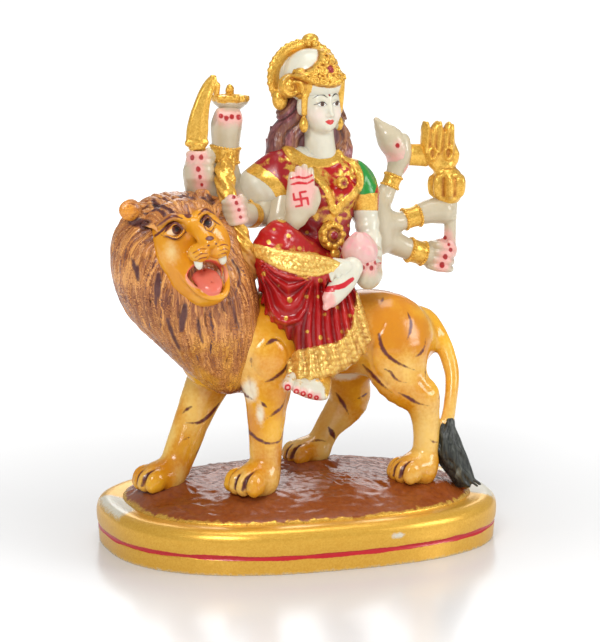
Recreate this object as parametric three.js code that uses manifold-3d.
// A goddess with eight arms seated sideways on a walking lion, on an oval plinth. It is one solid
// casting in marble-dust resin, painted by hand, so everything here is joined into a single body.
// Millimetres, +Z up. The origin is the centre of the plinth's flat underside, the lion walks
// towards -X and the goddess faces -Y.
import * as THREE from 'three';
import { mergeVertices } from 'three/addons/utils/BufferGeometryUtils.js';
import Module from 'manifold-3d';

// Driving dimensions of the plinth.
const PLINTH_LENGTH = 110.4;
const PLINTH_WIDTH = 84;
const PLINTH_HEIGHT = 12.1;
const FOOT_BAND_HEIGHT = 4.6;
const FOOT_SETBACK = 0.9;
const RIM_ROUND = 2.6;
const LEDGE_WIDTH = 7;
const MOUND_RISE = 6.5;

// The mound is flat near its middle and falls away to the ledge. The first power says how far out
// it stays flat, and the second how steeply it falls at its edge.
const MOUND_FLAT = 2.6;
const MOUND_FALL = 0.7;

// How full the plinth's oval is: 2 is an ellipse, and more squares it up.
const OVAL_FULLNESS = 2.5;

// Driving height of the figure, from the top of the mound to the top of the crown's finial.
const FIGURE_HEIGHT = 119;

// The figure's points are written at this height, with z measured from this ground level, and
// are scaled to FIGURE_HEIGHT.
const DRAWN_HEIGHT = 119;
const DRAWN_GROUND = 19.6;
const scale = FIGURE_HEIGHT / DRAWN_HEIGHT;
const moundTop = PLINTH_HEIGHT + MOUND_RISE;

// How far the figure's drawn origin stands behind the plinth's centre, along the walk.
const FIGURE_SETBACK = 2.6;

// Flat sides round the plinth.
const PLINTH_SIDES = 32;

// Locks round the mane and pleats round the skirt, each with three facets.
const MANE_LOCKS = 11;
const SKIRT_PLEATS = 8;

// A limb with at most this many sides ends in a plain point, and any other in a round cap.
const SMALL_SIDES = 6;

// A round cap's last ring lies this share of the way out to its tip, and is this share as wide.
const CAP_RING = 0.7;

const wasm = await Module();
wasm.setup();

const vec = (x, y, z) => new THREE.Vector3(x, y, z);
const UP = vec(0, 0, 1);
const ALONG = vec(1, 0, 0);
const ACROSS = vec(0, 1, 0);
const rad = THREE.MathUtils.degToRad;

/** A point of the figure, written at the drawn height. */
const at = (x, y, z) => vec(
  (x + FIGURE_SETBACK) * scale,
  y * scale,
  moundTop + (z - DRAWN_GROUND) * scale,
);

/** Joins a list of solids. */
const join = (list) => wasm.Manifold.union(list);

/** The solid of a closed geometry. */
function solid(geometry) {
  geometry.deleteAttribute('normal');
  geometry.deleteAttribute('uv');
  const merged = mergeVertices(geometry, 1e-4);
  return new wasm.Manifold(new wasm.Mesh({
    numProp: 3,
    vertProperties: new Float32Array(merged.attributes.position.array),
    triVerts: new Uint32Array(merged.index.array),
  }));
}

/** A closed skin over rings of equally many points, with a pole at each end. */
function skin(rings, firstPole, lastPole) {
  const count = rings[0].length;
  const points = [...rings.flat(), firstPole, lastPole];
  const first = rings.length * count;
  const index = [];
  for (let j = 0; j < count; j += 1) {
    const k = (j + 1) % count;
    const end = first - count;
    index.push(first, k, j, first + 1, end + j, end + k);
    for (let a = 0; a < end; a += count) {
      const b = a + count;
      index.push(a + j, a + k, b + k, a + j, b + k, b + j);
    }
  }
  const geometry = new THREE.BufferGeometry().setFromPoints(points);
  geometry.setIndex(index);
  return solid(geometry);
}

/**
 * A limb through a few sections [x, y, z, half width, half depth]. The half width lies along
 * `across` and the half depth square to it. `start` and `end` say how round the ends are, with 0
 * for a flat end. `relief(share, angle)` gives a factor on the radius. With `level`, every section
 * lies flat, whichever way the limb leans.
 */
function limb(sections, options = {}) {
  const {
    sides = 6, across = ACROSS, start = 0, end = 0.8, relief = () => 1, level = false,
  } = options;
  const points = sections.map(([x, y, z]) => at(x, y, z));
  const path = new THREE.CatmullRomCurve3(points, false, 'centripetal');
  const last = sections.length - 1;
  const tangentAt = (i) => {
    if (level) return vec(0, 0, Math.sign(points[last].z - points[0].z));
    return path.getTangent(i / last);
  };
  const ringAt = (i, out = 0, shrink = 1) => {
    const tangent = tangentAt(i);
    const centre = points[i].clone().addScaledVector(tangent, out);
    const side = across.clone().addScaledVector(tangent, -across.dot(tangent)).normalize();
    const normal = new THREE.Vector3().crossVectors(tangent, side);
    const [, , , width, depth = width] = sections[i];
    return Array.from({ length: sides }, (_, j) => {
      const angle = (2 * Math.PI * j) / sides;
      const r = scale * shrink * relief(i / last, angle);
      return centre.clone()
        .addScaledVector(side, Math.cos(angle) * width * r)
        .addScaledVector(normal, Math.sin(angle) * depth * r);
    });
  };
  const capOut = (i, roundness) => {
    const [, , , width, depth = width] = sections[i];
    return (i === 0 ? -1 : 1) * Math.min(width, depth) * scale * roundness;
  };
  const pole = (i, roundness) => points[i].clone().addScaledVector(tangentAt(i), capOut(i, roundness));
  const rings = sections.map((_, i) => ringAt(i));
  const capRing = (i, roundness) => ringAt(i, capOut(i, roundness) * CAP_RING, CAP_RING);
  if (start > 0 && sides > SMALL_SIDES) rings.unshift(capRing(0, start));
  if (end > 0 && sides > SMALL_SIDES) rings.push(capRing(last, end));
  return skin(rings, pole(0, start), pole(last, end));
}

/** An egg at a point of the figure, with three half sizes, turned by a matrix. */
function egg([x, y, z], [rx, ry, rz], turn = new THREE.Matrix4(), wide = 8, high = 5) {
  const geometry = new THREE.SphereGeometry(1, wide, high).rotateX(Math.PI / 2);
  geometry.scale(rx * scale, ry * scale, rz * scale).applyMatrix4(turn);
  const centre = at(x, y, z);
  geometry.translate(centre.x, centre.y, centre.z);
  return solid(geometry);
}

/** A body turned from a profile of [radius, height] pairs, standing on `foot` along `axis`. */
function turned(profile, foot, axis, sides = 8) {
  const points = profile.map(([r, h]) => new THREE.Vector2(r * scale, h * scale));
  const geometry = new THREE.LatheGeometry(points, sides).rotateX(Math.PI / 2);
  geometry.applyQuaternion(new THREE.Quaternion().setFromUnitVectors(UP, axis.clone().normalize()));
  const centre = at(...foot);
  geometry.translate(centre.x, centre.y, centre.z);
  return solid(geometry);
}

/** A frame at a head or a hand: `place` maps right, forward and up to a point of the figure. */
function localFrame(origin, yaw, pitch, roll) {
  const angles = new THREE.Euler(rad(pitch), rad(roll), rad(yaw), 'ZXY');
  const turn = new THREE.Matrix4().makeRotationFromEuler(angles);
  const direction = (right, forward, up) => vec(right, -forward, up).applyMatrix4(turn);
  const place = (right, forward, up) => {
    const p = direction(right, forward, up);
    return [origin[0] + p.x, origin[1] + p.y, origin[2] + p.z];
  };
  return { turn, place, direction };
}

/** How far the mound has dropped from its top at a share of the way out to its edge. */
const moundDrop = (share) => MOUND_RISE * (1 - (1 - Math.min(share, 1) ** MOUND_FLAT) ** MOUND_FALL);

/** An oval ring at a height, set in from the plinth's outline. */
function oval(inset, height) {
  const power = 2 / OVAL_FULLNESS;
  const bend = (value) => Math.sign(value) * Math.abs(value) ** power;
  return Array.from({ length: PLINTH_SIDES }, (_, i) => {
    const angle = (2 * Math.PI * i) / PLINTH_SIDES;
    return vec(
      (PLINTH_LENGTH / 2 - inset) * bend(Math.cos(angle)),
      (PLINTH_WIDTH / 2 - inset) * bend(Math.sin(angle)),
      height,
    );
  });
}

/** The oval plinth: a set-back foot band, a rounded rim, a ledge and the mound of earth. */
function plinth() {
  const rings = [oval(FOOT_SETBACK, 0), oval(FOOT_SETBACK, FOOT_BAND_HEIGHT)];
  for (let i = 0; i <= 2; i += 1) {
    const angle = (Math.PI / 2) * (i / 2);
    const height = PLINTH_HEIGHT - RIM_ROUND * (1 - Math.sin(angle));
    rings.push(oval(RIM_ROUND * (1 - Math.cos(angle)), height));
  }
  const edge = oval(LEDGE_WIDTH, 0);
  for (const share of [1, 0.82, 0.55]) {
    const height = moundTop - moundDrop(share);
    rings.push(edge.map((p) => vec(p.x * share, p.y * share, height)));
  }
  return skin(rings, vec(0, 0, 0), vec(0, 0, moundTop));
}

/** Height of the mound under a point of the figure, in the figure's drawn measure. */
function groundAt(x, y) {
  const place = at(x, y, 0);
  const along = Math.abs(place.x / (PLINTH_LENGTH / 2 - LEDGE_WIDTH)) ** OVAL_FULLNESS;
  const aside = Math.abs(place.y / (PLINTH_WIDTH / 2 - LEDGE_WIDTH)) ** OVAL_FULLNESS;
  return DRAWN_GROUND - moundDrop((along + aside) ** (1 / OVAL_FULLNESS)) / scale;
}

/** A paw with four round toes, on the ground at a point, its toes `heading` degrees round from -X. */
function paw([x, y], length, width, height, heading) {
  const toes = 4;
  const front = 2 * toes + 1;
  const back = 5;
  const spread = rad(74);
  const angles = [];
  for (let i = 0; i < front; i += 1) angles.push([spread * ((2 * i) / (front - 1) - 1), i % 2]);
  for (let i = 1; i <= back; i += 1) {
    angles.push([spread + ((2 * Math.PI - 2 * spread) * i) / (back + 1), 0.5]);
  }
  const floor = groundAt(x, y);
  const levels = [[-1.2, 0.98, 0], [height * 0.35, 1, 1], [height * 0.8, 0.8, 0.8]];
  const turnTo = Math.PI + rad(heading);
  const rings = levels.map(([up, size, notch]) => angles.map(([angle, tip]) => {
    const r = size * (1 + 0.16 * notch * (tip - 0.5));
    const out = Math.cos(angle) * length * 0.5 * r;
    const aside = Math.sin(angle) * width * 0.5 * r;
    return at(
      x + out * Math.cos(turnTo) - aside * Math.sin(turnTo),
      y + out * Math.sin(turnTo) + aside * Math.cos(turnTo),
      floor + up - Math.max(0, Math.cos(angle)) * 0.3 * up,
    );
  }));
  return skin(rings, at(x, y, floor - 1.2), at(x, y, floor + height));
}

/** The lion's trunk, legs, paws and tail. */
function lionBody() {
  const trunk = limb([
    [-28, -5, 57, 9, 12], [-18, -4.6, 57, 13, 14.4], [-5, -4.2, 57.6, 12.4, 12.6],
    [8, -4, 58, 11.8, 11.6], [19, -4.2, 57.4, 11.8, 11.4], [27, -4.4, 55.6, 9.4, 9],
  ], { sides: 11, end: 0.7 });
  const nearHind = limb([
    [23, -9.5, 61, 5.6, 7.6], [21.6, -12.6, 54, 6, 9], [22.6, -14.8, 46.8, 5, 7.6],
    [27.4, -16.2, 41, 4.2, 5], [29, -16.8, 34, 3.3, 3.8], [28.6, -17.2, 23, 3.2, 3.4],
  ], { sides: 7, end: 0 });
  const nearFore = limb([
    [-13.6, -9, 61, 6, 8], [-15.2, -12.6, 51, 5.8, 7.6], [-17, -15.6, 43, 5, 6],
    [-17.8, -17.4, 34.6, 4.2, 4.6], [-18, -18.2, 22.6, 3.8, 3.8],
  ], { sides: 7, end: 0 });
  const farFore = limb([
    [-22, 2, 55, 6, 7.6], [-27, 4, 45, 5.4, 6.2], [-31, 4, 36.6, 4.8, 5.1], [-38, 1.4, 21, 4, 4.2],
  ], { sides: 7, end: 0 });
  const farHind = limb([
    [15, 2, 54, 6, 8.4], [14.6, 5.6, 43, 5, 6.2], [13.8, 7, 36, 4.4, 5.2], [6.4, 8, 21.6, 3.3, 3.5],
  ], { sides: 7, end: 0 });
  const tail = limb([
    [29, -4, 58.6, 2.8], [34, -5.4, 60, 2.5], [38, -10.6, 51, 2.3],
    [37.4, -15, 40.4, 1.9], [35.4, -16.6, 33, 2],
  ], { sides: 5, end: 0 });
  const tuft = limb([
    [35.6, -16.4, 36.6, 1.6], [34.8, -16.8, 30.6, 3.2, 2.8], [37, -17.4, 23.4, 4.4, 3.8],
    [40, -18.2, groundAt(40, -18.2) + 0.6, 3.4, 3.2],
  ], { sides: 9, end: 0, relief: (share, angle) => 1 + 0.13 * Math.cos(3 * angle + share * 3) });
  return [
    trunk, nearHind, nearFore, farFore, farHind, tail, tuft,
    paw([-21.6, -19.2], 14, 12, 8.4, 22), paw([-42, 0.6], 14, 11.6, 7.8, 8),
    paw([25.6, -17.8], 13.4, 11, 8, 10), paw([3, 7.6], 12.4, 10.6, 6.8, 6),
  ];
}

/** The mane, as waving locks that fall round the neck and the chest. */
function mane() {
  const relief = (share, angle) => {
    const depth = 0.07 * Math.min(1, 0.2 + share * 4) * Math.min(1, 3.4 * (1 - share));
    return 1 + depth * Math.cos(MANE_LOCKS * angle + 3.6 * share);
  };
  return limb([
    [-38.6, -6, 95, 10, 13.4], [-39.2, -7, 88, 14, 17.4], [-38.4, -7.6, 80.6, 15.6, 19],
    [-37, -8, 73.4, 16.4, 19.4], [-34.6, -8, 66, 16, 18], [-31.8, -8.4, 58.6, 13.6, 13.6],
    [-29.4, -8.8, 51.6, 10, 9.4], [-26, -9, 44, 5, 4.6],
  ], { sides: 3 * MANE_LOCKS, relief, start: 0.25, end: 0.3, level: true });
}

/** The lion's head, turned towards -Y, with an open mouth, a tongue and two fangs. */
function lionHead() {
  const head = localFrame([-39.4, -13, 87.8], 3, -6, -8);
  const lump = (place, radii, wide, high) => egg(head.place(...place), radii, head.turn, wide, high);
  const flesh = join([
    lump([0, 3, 2.2], [9.8, 8.8, 9.8], 10, 6),
    lump([0, 6, -8.4], [7.2, 6.2, 8.4], 9, 5),
    lump([0, 8.8, 5], [7, 2.8, 2], 8, 4),
    lump([0, 12, 0.6], [2.8, 5.6, 3.2], 6, 5),
    lump([-2.7, 14.8, -3], [3.3, 3.8, 2.8], 7, 5),
    lump([2.7, 14.8, -3], [3.3, 3.8, 2.8], 7, 5),
    lump([0, 11, -14], [4, 4.6, 3], 7, 5),
  ]);
  const mouth = lump([0, 14.4, -9], [4, 7.6, 3.2], 8, 5);
  const fangs = [-3, 3].map((aside) => turned(
    [[0, 0], [1.2, 0], [0, 3.4]],
    head.place(aside, 14.6, -4.2), head.direction(0, 0, -1), 5,
  ));
  const ears = [[-10.8, -3.4, 10.4], [8, -1.4, 10]].map((place) => lump(place, [3.2, 3, 3.2], 7, 5));
  const tongue = lump([0.2, 10.6, -11.4], [2.4, 6, 1.2], 6, 4);
  return [flesh.subtract(mouth), tongue, ...fangs, ...ears];
}

/** A closed hand, four curled fingers one over another, facing `towards` with its thumb `up`. */
function fist(place, size, towards, up) {
  const axis = up.clone().normalize();
  const sections = [0, 1, 2, 3, 4, 5, 6].map((i) => {
    const rise = (i / 6 - 0.5) * 1.7 * size;
    const bulge = (i % 2 ? 0.84 : 1) * (1 - 0.14 * Math.abs(i / 3 - 1));
    const [x, y, z] = place;
    return [x + axis.x * rise, y + axis.y * rise, z + axis.z * rise, 0.8 * size * bulge];
  });
  return limb(sections, { sides: 5, across: towards, start: 0.3, end: 0.3 });
}

/** The four arms on the goddess's right, with what their hands hold. */
function rightArms() {
  const sleeve = limb([
    [-1, -2, 101, 5, 5.4], [-8, -1, 98.8, 6.8, 7.2], [-15, 3, 95, 5.2, 5.6],
  ], { sides: 8 });
  const discusArm = limb([
    [-15, 4, 93, 4.6], [-20.2, 4, 98, 4.2], [-22.2, 3.2, 104.4, 3.2],
    [-22.3, 3.2, 107, 4], [-22, 3, 110, 3.2],
  ]);
  const discus = turned(
    [[0, -3], [1.5, -3], [1.5, 1.6], [6, 4.2], [6, 5.4], [1.2, 5.6], [0, 7.6]],
    [-21.4, 3, 119.4], vec(0.03, 0.05, 1), 9,
  );
  const swordArm = limb([
    [-16, 3.4, 94.4, 4.4], [-23.6, 1.6, 95.2, 4.2], [-29.4, 0, 98.6, 4.2], [-31, -0.8, 103, 3.8],
  ]);
  const blade = limb([
    [-31.4, -1, 109, 1.1, 3.3], [-31.6, -0.6, 117, 1.1, 3.1],
    [-29.6, 0.2, 123.4, 1.1, 2.7], [-26, 1.4, 128, 0.9, 1.7],
  ], { sides: 5, across: vec(0.2, 1, 0), end: 0.5 });
  const guard = limb([
    [-35, -1.4, 111.8, 1.3], [-31.4, -1, 110.9, 1.6], [-28, -0.4, 111.8, 1.3],
  ], { sides: 4, start: 0.5 });
  const maceArm = limb([
    [-8, -0.6, 93.4, 4.2], [-14.6, -2, 91.4, 3.2], [-16.4, -2.4, 91.7, 4], [-19, -3, 92, 3.1],
  ], { end: 0 });
  const mace = limb([
    [-27, -1.4, 109, 1.3], [-25.2, -2.2, 104, 2.5], [-22.6, -4, 95, 1.8],
    [-19.4, -5.4, 84, 1.7], [-17, -6.6, 76, 1.9],
  ], { sides: 4, start: 0.6 });
  const blessingArm = limb([
    [-8, -3.4, 98, 4.2], [-9.8, -6.6, 90, 3.9], [-9.4, -11.4, 87.6, 3.2], [-8.4, -13.8, 92, 2.7],
  ]);
  return [
    sleeve, discusArm, fist([-21.7, 2.6, 114.8], 4.3, ACROSS, UP), discus,
    swordArm, fist([-31.2, -1.2, 106], 4.5, ACROSS, UP), blade, guard,
    maceArm, fist([-22, -4.2, 93.6], 4.2, ACROSS, vec(-0.3, 0, 1)), mace,
    blessingArm, ...openPalm([-7.4, -14.6, 97.4]),
  ];
}

/** The open palm held upright, its fingers together and its thumb beside them. */
function openPalm([x, y, z]) {
  const palm = limb(
    [[x - 0.8, y + 0.8, z - 5, 2.6, 1.8], [x, y + 0.3, z - 1.5, 3.8, 1.8], [x, y, z + 3, 3.6, 1.6]],
    { sides: 6, across: ALONG, end: 0.2 },
  );
  const thumb = limb([[x + 2.4, y + 0.2, z - 3, 1.2], [x + 4.4, y - 0.4, z + 1.4, 0.9]], { sides: 5 });
  const fingers = [-1.5, -0.5, 0.5, 1.5].map((place) => {
    const reach = 8.2 - Math.abs(place) * 0.9;
    return limb([
      [x + place * 1.7, y, z + 2, 1.15], [x + place * 1.3 - 0.3, y, z + reach, 0.85],
    ], { sides: 5, end: 0.6 });
  });
  return [palm, thumb, ...fingers];
}

/** The three raised arms on the goddess's left, with the conch and the trident. */
function leftArms() {
  const shoulder = limb([
    [8, -1, 101, 5], [14, -0.4, 99.4, 5], [18.6, 2, 93, 5], [22.4, 3.2, 86, 5.2],
    [22.6, 3.4, 82, 4.4],
  ]);
  const conchArm = limb([
    [20, 3, 90, 4], [24.2, 3.8, 94, 3.2], [26.2, 4.2, 98.2, 3.8], [27.4, 4.4, 101, 2.7],
  ], { end: 0 });
  const conch = limb([
    [21.8, 4.8, 116, 0.7], [24.4, 5, 112.4, 2.4], [27.6, 5.2, 107.6, 4], [29.8, 5.2, 101.4, 2],
  ]);
  const bridge = limb([[30, 4.8, 107.4, 2], [38, 4.4, 106.6, 2.2]], { sides: 4 });
  const tridentArm = limb([
    [22, 3.2, 87.4, 4], [28, 3.6, 87.2, 3.3], [32.8, 4, 88.4, 4.1], [38, 4, 89.4, 3.4],
  ], { end: 0 });
  const lowArm = limb([
    [22, 3.6, 84, 4.4], [29, 4.4, 80.4, 3.5], [34.4, 4.8, 78.6, 4.3], [39, 5, 77.4, 3.5],
  ], { end: 0 });
  const shaft = limb([[43.8, 4, 94, 1.9], [43.6, 4.4, 78, 1.8]], { sides: 5, across: ALONG, end: 0 });
  return [
    shoulder, conchArm, fist([28.8, 4.6, 105.6], 4, ACROSS, UP), conch, bridge,
    tridentArm, fist([41.6, 3.8, 89.6], 4.4, ACROSS, UP), shaft,
    lowArm, fist([42, 4.6, 76.8], 4.8, ACROSS, vec(0.3, 0, 1)), ...trident(),
  ];
}

/** The trident's ribbed knob and its three broad tines. */
function trident() {
  const knob = limb(
    [[43.6, 4, 92.4, 3.6], [43.7, 4, 96, 4.5], [42.8, 4, 100, 2.2]],
    { sides: 8, relief: (share, angle) => 1 + 0.06 * Math.cos(4 * angle), end: 0 },
  );
  const web = limb([
    [42.2, 4, 99.6, 1.6, 2.6], [41.3, 4, 104, 1.9, 5.6], [40.8, 4, 108.6, 1.5, 4.6],
  ], { end: 0 });
  const tines = [-3.6, 0, 3.6].map((aside) => limb(
    [[41.2 + aside, 4, 105, 1.6], [40.3 + aside * 1.2, 4, 112.6, 1.2]],
    { sides: 4, end: 1.2 },
  ));
  return [knob, web, ...tines];
}

/** The goddess's body, her folded right leg, the hanging left leg and the draped skirt. */
function goddessBody() {
  const torso = limb([
    [2.4, -3.2, 76, 11.2, 8.2], [2.6, -3, 83.6, 8.6, 6.6], [2.8, -2.8, 89.6, 8.8, 6.8],
    [3, -2.6, 95.4, 9.8, 7.6], [3.2, -1.8, 100.6, 10.2, 6.2], [3.4, -1.6, 104.8, 6.6, 4.6],
    [3.6, -2, 108, 3.3, 3.2], [3, -2.6, 115, 3, 3],
  ], { sides: 11, across: ALONG, end: 0 });
  const bosom = [-1.6, 6.6].map((x) => egg([x, -8, 96.2], [3.7, 3.3, 3.6], undefined, 7, 5));
  const foldedThigh = limb([
    [2, -6, 77, 7.4, 7], [-8, -11, 79, 6.8, 6.4], [-17.6, -14.8, 79.4, 5.8, 5.9],
  ], { sides: 8 });
  const foldedShin = limb([
    [-17.4, -16.4, 78.8, 5, 5.2], [-9.6, -20, 78.2, 4, 4.6], [1.6, -21.8, 78, 2.8, 3],
  ]);
  const foldedFoot = limb([
    [5.6, -22, 77.2, 2.7, 2.8], [0.6, -23.6, 74.6, 2.4, 3.2], [-3, -25, 71, 1.6, 2.4],
  ], { start: 0.8 });
  const shin = limb([
    [3, -18.6, 64, 5, 5], [0, -21.4, 58.6, 4.3, 4.6], [-6.6, -23.4, 50.6, 3.4, 3.6],
  ], { across: ALONG, end: 0 });
  const pleats = (share, angle) => (
    1 + 0.055 * Math.cos(SKIRT_PLEATS * angle) * Math.min(1, share * 2.5)
  );
  const skirt = limb([
    [-5, -11.6, 77, 15, 7], [-4.4, -14, 70.6, 16, 7.4], [-0.6, -15.8, 64.6, 12.6, 7.4],
    [3, -17.4, 58.6, 9.4, 6.6], [3, -18.6, 52.6, 8.2, 5.4],
  ], { sides: 3 * SKIRT_PLEATS, across: ALONG, end: 0, relief: pleats, level: true });
  return [
    torso, ...bosom, foldedThigh, foldedShin, foldedFoot,
    shin, ...hangingFoot(), skirt, ...swags(),
  ];
}

/** The instep and the five toes of the hanging foot. */
function hangingFoot() {
  const instep = limb(
    [[-3.6, -22.6, 52.6, 4.4, 3.6], [-6.4, -24.4, 49.6, 5.4, 3.2], [-8.6, -26, 47.6, 5.6, 2.4]],
    { across: ALONG },
  );
  const toes = [0, 1, 2, 3, 4].map((toe) => {
    const aside = -12.6 + toe * 2.3;
    const size = 1.6 - toe * 0.12;
    return limb([
      [aside + 1.6, -24.6, 49.4 - toe * 0.4, size], [aside, -27, 47.4 - toe * 0.4, size],
    ], { sides: 4 });
  });
  return [instep, ...toes];
}

/** Swags of cloth hung below the folded knee, one under another. */
function swags() {
  return [0, 1, 2].map((row) => {
    const drop = row * 4;
    const reach = 9.2 - row * 1.6;
    const middle = -11.8 + row * 0.9;
    return limb([
      [middle - reach, -17.4 + row * 0.4, 74 - drop * 0.6, 1.4],
      [middle - reach * 0.5, -20.6 + row * 0.4, 71 - drop, 1.6],
      [middle + reach * 0.4, -21.8 + row * 0.6, 70.6 - drop, 1.6],
      [middle + reach, -20.8, 75.6 - drop * 0.2, 1.2],
    ], { sides: 4, start: 0.8 });
  });
}

/** The front left arm, its hand and the lotus bud on it. */
function lotusArm() {
  const arm = limb([
    [12.6, -2.4, 101, 4.4], [16, -3.4, 95.4, 4.2], [16.1, -4.2, 91.4, 4.6], [15.8, -5.6, 87, 3.3],
    [14.8, -9.4, 80.6, 2.9], [13, -13.4, 76.8, 2.9],
  ], { end: 0 });
  const hand = limb([[13.6, -12.6, 76.4, 2.8, 3], [11.4, -17, 76, 2.4, 4], [9.4, -20.4, 77, 1.6, 3.4]]);
  const lotus = limb(
    [[9.6, -18, 78.4, 2.2], [9.4, -18, 81, 4.3], [9.3, -18, 84.6, 4.5], [9.2, -18, 87, 2.6]],
    { sides: 8, across: ALONG },
  );
  return [arm, hand, lotus];
}

/** The goddess's head with a calm, plain face, her crown with its round halo, and her loose hair. */
function goddessHead() {
  const head = localFrame([2.2, -3.4, 119.4], 12, -2, 0);
  const lump = (place, radii, wide, high) => egg(head.place(...place), radii, head.turn, wide, high);
  const halo = limb([
    [...head.place(-1, -7.4, 8), 9.8, 8.2], [...head.place(-1, -6, 8), 11.2, 9.6],
    [...head.place(-1, -4.4, 8), 10.2, 8.6],
  ], { sides: 14, across: head.direction(1, 0, 0), end: 0 });
  const strands = (share, angle) => 1 + 0.08 * Math.cos(4 * angle + share);
  const rightHair = limb(
    [[0, 1, 120, 7.4, 5], [-4.6, 1.4, 112, 7.4, 4.8], [-9.4, 0.4, 104.4, 4.8, 3.8]],
    { sides: 10, across: vec(1, 0.2, 0), relief: strands, end: 0 },
  );
  const leftHair = limb(
    [[4, 1.6, 119, 5.6, 4.4], [8.4, 1.6, 112, 4.6, 3.8], [11, 0.6, 106.4, 3.2, 3]],
    { sides: 7, across: ALONG, relief: strands, end: 0 },
  );
  const temples = [-6.2, 6.2].map((aside) => lump([aside, 1.2, 4.6], [1.8, 2.6, 4.2], 6, 4));
  return [
    lump([0, 0.6, 0.9], [5.6, 5.8, 7], 10, 7),
    lump([0, 3.6, -3.4], [3.4, 2.6, 2.8], 7, 4),
    lump([0, 6.2, 0], [0.8, 1.2, 1.8], 5, 4),
    halo,
    lump([-0.4, -1.4, 7.6], [8.2, 7.2, 8.2], 10, 6),
    lump([0, 2.4, 10.6], [5.6, 4.2, 4.8], 8, 5),
    lump([1.1, -5, 17.6], [2.3, 2, 2], 7, 4),
    ...temples, rightHair, leftHair,
  ];
}

const casting = join([
  plinth(), ...lionBody(), mane(), ...lionHead(),
  ...goddessBody(), ...lotusArm(), ...rightArms(), ...leftArms(), ...goddessHead(),
]).getMesh();

const geometry = new THREE.BufferGeometry();
geometry.setAttribute('position', new THREE.Float32BufferAttribute(casting.vertProperties, 3));
geometry.setIndex(new THREE.BufferAttribute(casting.triVerts, 1));
geometry.computeVertexNormals();

const paintedResin = new THREE.MeshStandardMaterial({ color: 0xd9a441, roughness: 0.35, metalness: 0 });
const statue = new THREE.Mesh(geometry, paintedResin);
statue.name = 'durga_on_lion';

const figure = new THREE.Group();
figure.add(statue);

export default figure;
